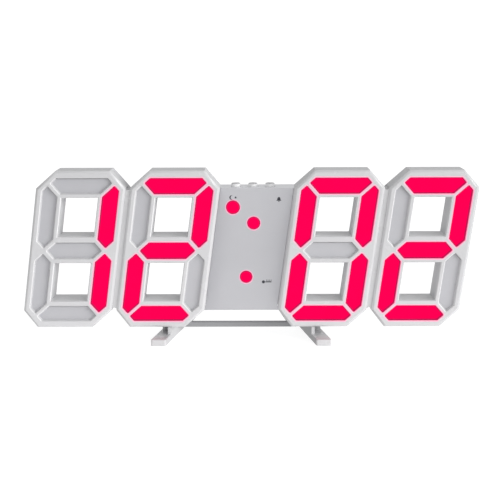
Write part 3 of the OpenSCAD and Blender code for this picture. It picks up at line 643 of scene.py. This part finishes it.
housing = build("centre_housing_moulding",
                [prism(neck(0), ends(PANEL, fillet(0.2, 3), 20, SQUARE))],
                ("+", [prism(ctr([(s * (CW - GAP - 0.4), PZ[0]), (s * (CW + 1.1), PZ[0]), (s * (CW - GAP - 0.4), PZ[0] + 2.9)]),
                             ends(PANEL + 0.01, SQUARE, PANEL + 1.5, SQUARE)) for s in (-1, 1)]),
                ("+", [prism(tee(0), ends(DEPTH + 0.05, SQUARE, HB, SEAM))]),
                ("-", [prism(neck(1.6), [(0, PANEL + 1.6), (0, HB + 1)])]),
                ("-", [prism(tee(1.6), [(0, DEPTH + 2), (0, HB + 1)])]),
                ("-", [prism(circle(x, z, r, 56), [(-0.6, PANEL - 0.6), (-0.6, PANEL - 0.003), (-0.3, PANEL + 0.012), (-0.1, PANEL + 0.08),
                                                 (0, PANEL + 0.2), (0, PANEL + 2.2)]) for x, z, r in LENS]),
                ("-", [through(stadium(BX + k * BP, BY, 5.0, 6.3), Z0 + PZ[1] - 1.6, Z0 + PZ[1], lip1=0.25, place=along_z) for k in (-1, 0, 1)]))
PANEL_OB = done(housing, "clock_body", PANEL_M, ["centre_housing"])

CCS = [C(-WU + 4.2, WZ + 4), C(WU - 4.2, WZ + 4), C(-WU + 4.2, PZ[1] - 4), C(WU - 4.2, PZ[1] - 4)]
KH = [C(-14, 54), C(14, 54)]
DOOR_W, DOOR_Z = 25.0, (PZ[0], 35.0)
USB, BUZ = C(-16, 42), C(15.5, 38)
DOOR_X = SL * (21 - MID)


def keyhole(p):
    r, w, rise = 3.6, 1.7, 6.0
    a0 = math.asin(w / r)
    body = [(p[0] + r * math.sin(a), p[1] - r * math.cos(a)) for a in
            [(math.pi - a0) * k / 14 for k in range(-14, 15)]]
    top = [(p[0] + w * math.cos(a), p[1] + rise + w * math.sin(a)) for a in [math.pi * k / 10 for k in range(11)]]
    return body + top


def box2(x0, x1, z0, z1):
    return [(x0, z0), (x1, z0), (x1, z1), (x0, z1)]


rear = build("centre_rear_moulding",
             [prism(tee(0), ends(HB, SEAM, HOUSE, fillet(0.8)))],
             ("-", [pocket(circle(p[0], p[1], 1.9), HOUSE, HOUSE - 1, 0.25, back=True) for p in CCS]),
             ("-", [rod(p, 1.1, HB - 1, HOUSE + 1) for p in CCS]),
             ("-", [through(keyhole(p), HB, HOUSE, lip1=0.25) for p in KH]),
             ("-", [prism(box2(DOOR_X - DOOR_W / 2 - 0.15, DOOR_X + DOOR_W / 2 + 0.15, DOOR_Z[0] - 3, DOOR_Z[1] + 0.15),
                          [(0, HOUSE - 1.3), (0, HOUSE + 1)])]),
             ("-", [prism(box2(DOOR_X - DOOR_W / 2 - 1.15, DOOR_X + DOOR_W / 2 + 1.15, DOOR_Z[0] - 3, DOOR_Z[1] + 1.15),
                          [(0, HOUSE - 1.3), (0, HOUSE - 0.55)])]),
             ("-", [prism(box2(DOOR_X - 11.2, DOOR_X + 11.2, 9, 32), [(0, HB - 1), (0, HOUSE - 1)])]),
             ("-", [through(rounded(box2(USB[0] - 4.1, USB[0] + 4.1, USB[1] - 1.8, USB[1] + 1.8), 0.9), HB, HOUSE, lip1=0.25)]),
             ("-", [through(circle(BUZ[0] + 3 * r * math.cos(a), BUZ[1] + 3 * r * math.sin(a), 0.8, 20), HB, HOUSE, lip1=0.15)
                    for r, a in [(0, 0)] + [(1, math.radians(60 * k)) for k in range(6)]]))
done(rear, "clock_body", BACK, ["centre_rear_cover"])

door = build("battery_door_moulding",
             [prism(box2(DOOR_X - DOOR_W / 2, DOOR_X + DOOR_W / 2, DOOR_Z[0] + 0.05, DOOR_Z[1]),
                    ends(HOUSE - 1.2, SQUARE, HOUSE, fillet(0.3)))],
             ("+", [prism(box2(DOOR_X - DOOR_W / 2 - 1, DOOR_X + DOOR_W / 2 + 1, DOOR_Z[0] + 0.05, DOOR_Z[1]),
                          ends(HOUSE - 1.2, SQUARE, HOUSE - 0.65, SQUARE))]),
             ("-", [pocket(rounded(box2(DOOR_X - 6, DOOR_X + 6, DOOR_Z[0] + 4 + k * 1.6, DOOR_Z[0] + 4.8 + k * 1.6), 0.35, 3),
                           HOUSE, HOUSE - 0.4, 0.1, back=True) for k in range(5)]),
             ("-", [pocket([(DOOR_X - 3.2, DOOR_Z[0] + 19), (DOOR_X, DOOR_Z[0] + 14.5), (DOOR_X + 3.2, DOOR_Z[0] + 19)],
                           HOUSE, HOUSE - 0.3, 0.1, back=True)]))
done(door, "battery_door_body", BACK, ["battery_door"])

# ---------------------------------------------------------------- buttons
for k, side in ((-1, "left"), (0, "middle"), (1, "right")):
    top = Z0 + PZ[1] + 1.6
    cap = build(side + "_button_cap",
                [prism(stadium(BX + k * BP, BY, 4.7, 6.0),
                       [(0, Z0 + 64.2), (0, top - 0.42), (0.05, top - 0.27), (0.14, top - 0.14), (0.28, top - 0.06), (0.5, top - 0.02), (1.7, top)], along_z)],
                ("+", [prism(stadium(BX + k * BP, BY, 6.1, 7.4), [(0, Z0 + 63.2), (0, Z0 + 64.4)], along_z)]))
    # the cap sides carry a painted highlight and the top faces a painted shade
    done(cap, side + "_button_body", CAP_SIDE_HIGHLIGHT, [side + "_button"], sharp=40)
    cap.data.materials.append(CAP_TOP_SHADE)
    for f in cap.data.polygons:
        if f.normal.z > 0.6:
            f.material_index = 1

# ---------------------------------------------------------------- rail
rail = build("stand_rail_moulding",
             [prism(ctr([(18.75, 11), (29, 11), (29, -4.4), (-29, -4.4), (-29, 11), (-18.75, 11),
                         (-18.75, 4.6), (-24, -1.8), (24, -1.8), (18.75, 4.6)]),
                    ends(DEPTH + 0.1, fillet(0.45), DEPTH + 3.1, fillet(0.45)))],
             ("-", [pocket(circle(*C(s * RAIL_PT, RAIL_SZ), 1.9), DEPTH + 3.1, DEPTH + 2.1, 0.2, back=True) for s in (-1, 1)]),
             ("-", [rod(C(s * RAIL_PT, RAIL_SZ), 1.15, DEPTH - 1, DEPTH + 4) for s in (-1, 1)]))
# the rail's colour is darkened as painted shade
done(rail, "clock_body", RAIL_SHADE, ["stand_rail"])


# ---------------------------------------------------------------- feet
def lx(y):
    return SPLAY * (PIVOT_Y - y)


def foot(name, s, body, node):
    def here(p):
        return [(STAND_X + s * (PIVOT_X + x), y) for x, y in p]
    w = LEG_W / 2
    leg = here([(lx(-TOE) - w, -TOE), (lx(-TOE) + w, -TOE), (lx(HEEL) + w, HEEL), (lx(HEEL) - w, HEEL)])
    leg = rounded(leg, 0.95, 4)
    post_top = Z0 - FLARE - 0.45
    fin = here([(lx(2.4) - w, 2.4), (lx(2.4) - w + 1.6, 2.4), (lx(17) - w + 1.6, 17), (lx(17) - w, 17)])
    ob = build(name, [prism(leg, ends(0.3, fillet(0.3, 3), 0.3 + LEG_T, fillet(0.4)), along_z)],
               ("+", [prism(fin, ends(2.0, SQUARE, post_top, fillet(0.2, 2)), along_z)]),
               ("+", [rod(here([(0, PIVOT_Y)])[0], 2.8, 2.0, post_top, SQUARE, fillet(0.2, 2), 48, along_z)]),
               ("-", [rod(here([(0, PIVOT_Y)])[0], 1.65, -1, 20, place=along_z)]),
               ("-", [rod(here([(0, PIVOT_Y)])[0], 2.45, -1, 2.6, place=along_z)]),
               ("-", [rod(here([(lx(y), y)])[0], 2.3, -1, 0.8, place=along_z) for y in (-TOE + 3.6, HEEL - 3.6)]))
    ob = done(ob, body, WHITE, [node])
    # painted shade: the inner side of the right leg, facing away from the light, much darker; the lit inner side of the
    # left leg a little darker; the fin and post under the digit dark
    ob.data.materials.append(FOOT_SIDE_SHADE if s > 0 else FOOT_LIT_SIDE_SHADE)
    ob.data.materials.append(FOOT_SHADE)
    for f in ob.data.polygons:
        n, c = f.normal, f.center / MM
        if n.x * s < -0.8:
            f.material_index = 1
        elif c.z > 0.3 + LEG_T + 0.1 and c.y > Y0 + 5:
            f.material_index = 2
    return ob


foot("left_foot_moulding", -1, "left_foot_body", "left_foot")
foot("right_foot_moulding", 1, "right_foot_body", "right_foot")

# ---------------------------------------------------------------- lenses and printed marks on the panel
for (x, z, r), nm in zip(LENS, ("pm_lens", "colon_upper_lens", "colon_lower_lens")):
    lens = build(nm + "_dome", [prism(circle(x, z, r - 0.03, 56), [(1.9, PANEL + 0.02), (1.2, PANEL + 0.05), (0.7, PANEL + 0.10), (0.52, PANEL + 0.15), (0.25, PANEL + 0.27),
                                                                  (0.06, PANEL + 0.45), (0, PANEL + 0.7), (0, PANEL + 1.9)])])
    done(lens, "clock_body", LIT, [nm], sharp=60)
    lens.data.materials.append(LENS_RIM)
    for f in lens.data.polygons:
        if math.hypot(f.center.x / MM - x, f.center.z / MM - Z0 - z) > r - 0.62:
            f.material_index = 1
# painted glow of the indicator light on the panel faces around each lens
PANEL_OB.data.materials.append(LENS_HALO)
for f in PANEL_OB.data.polygons:
    at_x, depth, at_z = f.center.x / MM, f.center.y / MM - Y0 - PANEL, f.center.z / MM - Z0
    if 0.001 < depth < 1.0 and any(math.hypot(at_x - x, at_z - z) < r + 0.8 for x, z, r in LENS):
        f.material_index = 1


def mark(name, outlines):
    done(build(name, [prism(o, [(0, PANEL - 0.03), (0, PANEL + 0.05)]) for o in outlines]), "clock_body", INK)


def crescent(x, z, r):
    a = [(x + r * math.cos(t), z + r * math.sin(t)) for t in [math.radians(60 + 240 * k / 20) for k in range(21)]]
    b = [(x + 0.5 * r + 0.92 * r * math.cos(t), z + 0.92 * r * math.sin(t)) for t in [math.radians(250 - 140 * k / 16) for k in range(17)]]
    return a + [q for q in b if math.hypot(q[0] - x, q[1] - z) < r * 0.98]


def star(x, z, r):
    return [(x + (r if k % 2 == 0 else 0.45 * r) * math.sin(math.pi * k / 5), z + (r if k % 2 == 0 else 0.45 * r) * math.cos(math.pi * k / 5)) for k in range(10)]


mark("afternoon_mark", [crescent(-8.75, 61.75, 1.1), star(-6.75, 61.75, 0.72)])
mark("alarm_mark", [[(14.55 + 1.38 * q[0], 60.9 + 1.3 * q[1]) for q in
                     [(-0.95, -0.62), (0.95, -0.62), (0.62, -0.3), (0.55, 0.3), (0.3, 0.72), (0, 0.85), (-0.3, 0.72), (-0.55, 0.3), (-0.62, -0.3)]],
                    circle(14.55, 59.72, 0.26, 12)])
mark("temperature_mark", [circle(6.9, 19.3, 0.78, 20), box2(7.85, 10.9, 19.05, 19.55)]
     + [box2(8.35 + 0.75 * k, 8.6 + 0.75 * k, 19.8, 20.45) for k in range(4)])

# ---------------------------------------------------------------- carried-over construction
TAKE = {}
for i in (1, 2, 3, 4):
    TAKE[f"digit{i}_lit_segments"], TAKE[f"digit{i}_dark_segments"], TAKE[f"digit{i}_board"] = LIT, DARK_SEG, BOARD
for s in ("left", "right"):
    TAKE[s + "_foot_pads"], TAKE[s + "_ribbon_cable"], TAKE[s + "_board_header"] = PAD_M, RIBBON, BLACK
for s in ("left", "middle", "right"):
    TAKE[s + "_switch_plunger"] = ORANGE
for n in ("pivot_screws", "cover_screws", "link_screws", "rail_screws", "centre_cover_screws", "board_screws"):
    TAKE[n] = STEEL
TAKE.update(segment_leds=LED_M, indicator_leds=LED_M, control_board=GREEN, controller_chip=BLACK, clock_crystal=SOCKET,
            buzzer=BLACK, battery_holder=BLACK, coin_cell=CELL, battery_contact=CONTACT, usb_socket=SOCKET,
            button_switches=BLACK, pivot_washers=NYLON, smoothing_capacitor=BLACK, chip_components=TAN, temperature_sensor=BLACK)
for n, ob in NODES.items():
    if ob.hide_render:
        continue
    if n not in TAKE:
        raise SystemExit("no material for " + n)
    ob.data.materials.clear()
    ob.data.materials.append(TAKE[n])

# ---------------------------------------------------------------- floor, world and lights
# The floor and the backdrop are brightest in front of the camera and fall off gently at the sides
# and towards the camera, as under flags, so that the left edges of the digits keep their tone.
FLOOR_IN, FLOOR_OUT, BACK_IN, BACK_OUT, SKY = 0.79, 0.25, 1.06, 0.50, 0.66
bm = bmesh.new()
bmesh.ops.create_circle(bm, cap_ends=True, segments=96, radius=12.0)
me = bpy.data.meshes.new("floor")
bm.to_mesh(me)
bm.free()
floor = bpy.data.objects.new("floor", me)
scene.collection.objects.link(floor)


def math_node(tree, op, a, b):
    """a and b are sockets or numbers."""
    n = tree.nodes.new("ShaderNodeMath")
    n.operation = op
    for socket, v in zip(n.inputs, (a, b)):
        if hasattr(v, "is_output"):
            tree.links.new(v, socket)
        elif v is not None:
            socket.default_value = v
    return n.outputs[0]


def ease(tree, value, a, b, lo, hi):
    """lo where value is below a, hi above b, smooth between them."""
    n = tree.nodes.new("ShaderNodeMapRange")
    n.interpolation_type = "SMOOTHSTEP"
    for name, v in (("From Min", a), ("From Max", b)):
        n.inputs[name].default_value = v
    for name, v in (("To Min", lo), ("To Max", hi)):
        if hasattr(v, "is_output"):
            tree.links.new(v, n.inputs[name])
        else:
            n.inputs[name].default_value = v
    tree.links.new(value, n.inputs["Value"])
    return n.outputs["Result"]


m, nt, bs, co = shader("pale_floor")
nt.links.new(two(nt, noise(nt, co, 3, 2), (0.395, 0.395, 0.395), (0.405, 0.405, 0.405)), bs.inputs["Base Color"])
bs.inputs["Roughness"].default_value = 0.9
bs.inputs["Specular IOR Level"].default_value = 0.0
bs.inputs["Emission Color"].default_value = (1, 1, 1, 1)
sep = nt.nodes.new("ShaderNodeSeparateXYZ")
nt.links.new(co, sep.inputs[0])
side = math_node(nt, "SUBTRACT", math_node(nt, "ABSOLUTE", sep.outputs["X"], None),
                 math_node(nt, "MULTIPLY", math_node(nt, "ADD", sep.outputs["Y"], 0.53), 0.25))
pool = math_node(nt, "MULTIPLY", ease(nt, side, 0.0, 0.10, 1.0, 0.0), ease(nt, sep.outputs["Y"], -0.27, -0.197, 0.0, 1.0))
nt.links.new(math_node(nt, "ADD", math_node(nt, "MULTIPLY", pool, FLOOR_IN - FLOOR_OUT), FLOOR_OUT), bs.inputs["Emission Strength"])
me.materials.append(m)

world = bpy.data.worlds.new("studio")
scene.world = world
world.use_nodes = True
wt = world.node_tree
bg = wt.nodes["Background"]
tc = wt.nodes.new("ShaderNodeTexCoord")
sep = wt.nodes.new("ShaderNodeSeparateXYZ")
wt.links.new(tc.outputs["Generated"], sep.inputs[0])
horizon = ease(wt, sep.outputs["Y"], 0.70, 0.93, BACK_OUT, BACK_IN)
bg.inputs["Color"].default_value = (1, 1, 1, 1)
wt.links.new(ease(wt, sep.outputs["Z"], 0.07, 0.16, horizon, SKY), bg.inputs["Strength"])


def soft_box(name, azimuth, elevation, distance, size, watts):
    """A soft box seen from the clock at an azimuth from the front towards the right, and an elevation."""
    a, e = math.radians(azimuth), math.radians(elevation)
    aim = Vector((0, 0, 0.045))
    place = aim + distance * Vector((math.sin(a) * math.cos(e), -math.cos(a) * math.cos(e), math.sin(e)))
    d = bpy.data.lights.new(name, "AREA")
    d.shape, d.size, d.size_y, d.energy = "RECTANGLE", size[0], size[1], watts
    o = bpy.data.objects.new(name, d)
    scene.collection.objects.link(o)
    o.location = place
    o.rotation_euler = (aim - place).to_track_quat("-Z", "Y").to_euler()
    return o


LIGHTS = [("key", 62, 12, 3.0, (1.8, 1.4), 57.0),
          ("second", 30, 12, 3.0, (1.8, 1.4), 12.6)]
placed = [soft_box(*light) for light in LIGHTS]


def only(name, lights, objects, state):
    """Light the objects alone with these lights, or everything but them."""
    group = bpy.data.collections.new(name)
    for o in objects:
        group.objects.link(o)
    for entry in group.collection_objects:
        entry.light_linking.link_state = state
    for o in lights:
        o.light_linking.receiver_collection = group


# The set-back panel is lit evenly by its own box, and the other two pass it by.
only("beside_key", placed, [PANEL_OB], "EXCLUDE")
only("panel_only", [soft_box("panel_fill", 0, 55, 0.40, (0.30, 0.25), 0.66)], [PANEL_OB], "INCLUDE")

scene.view_settings.view_transform = "Standard"
scene.view_settings.look = "None"
scene.view_settings.exposure = 0
scene.view_settings.gamma = 1
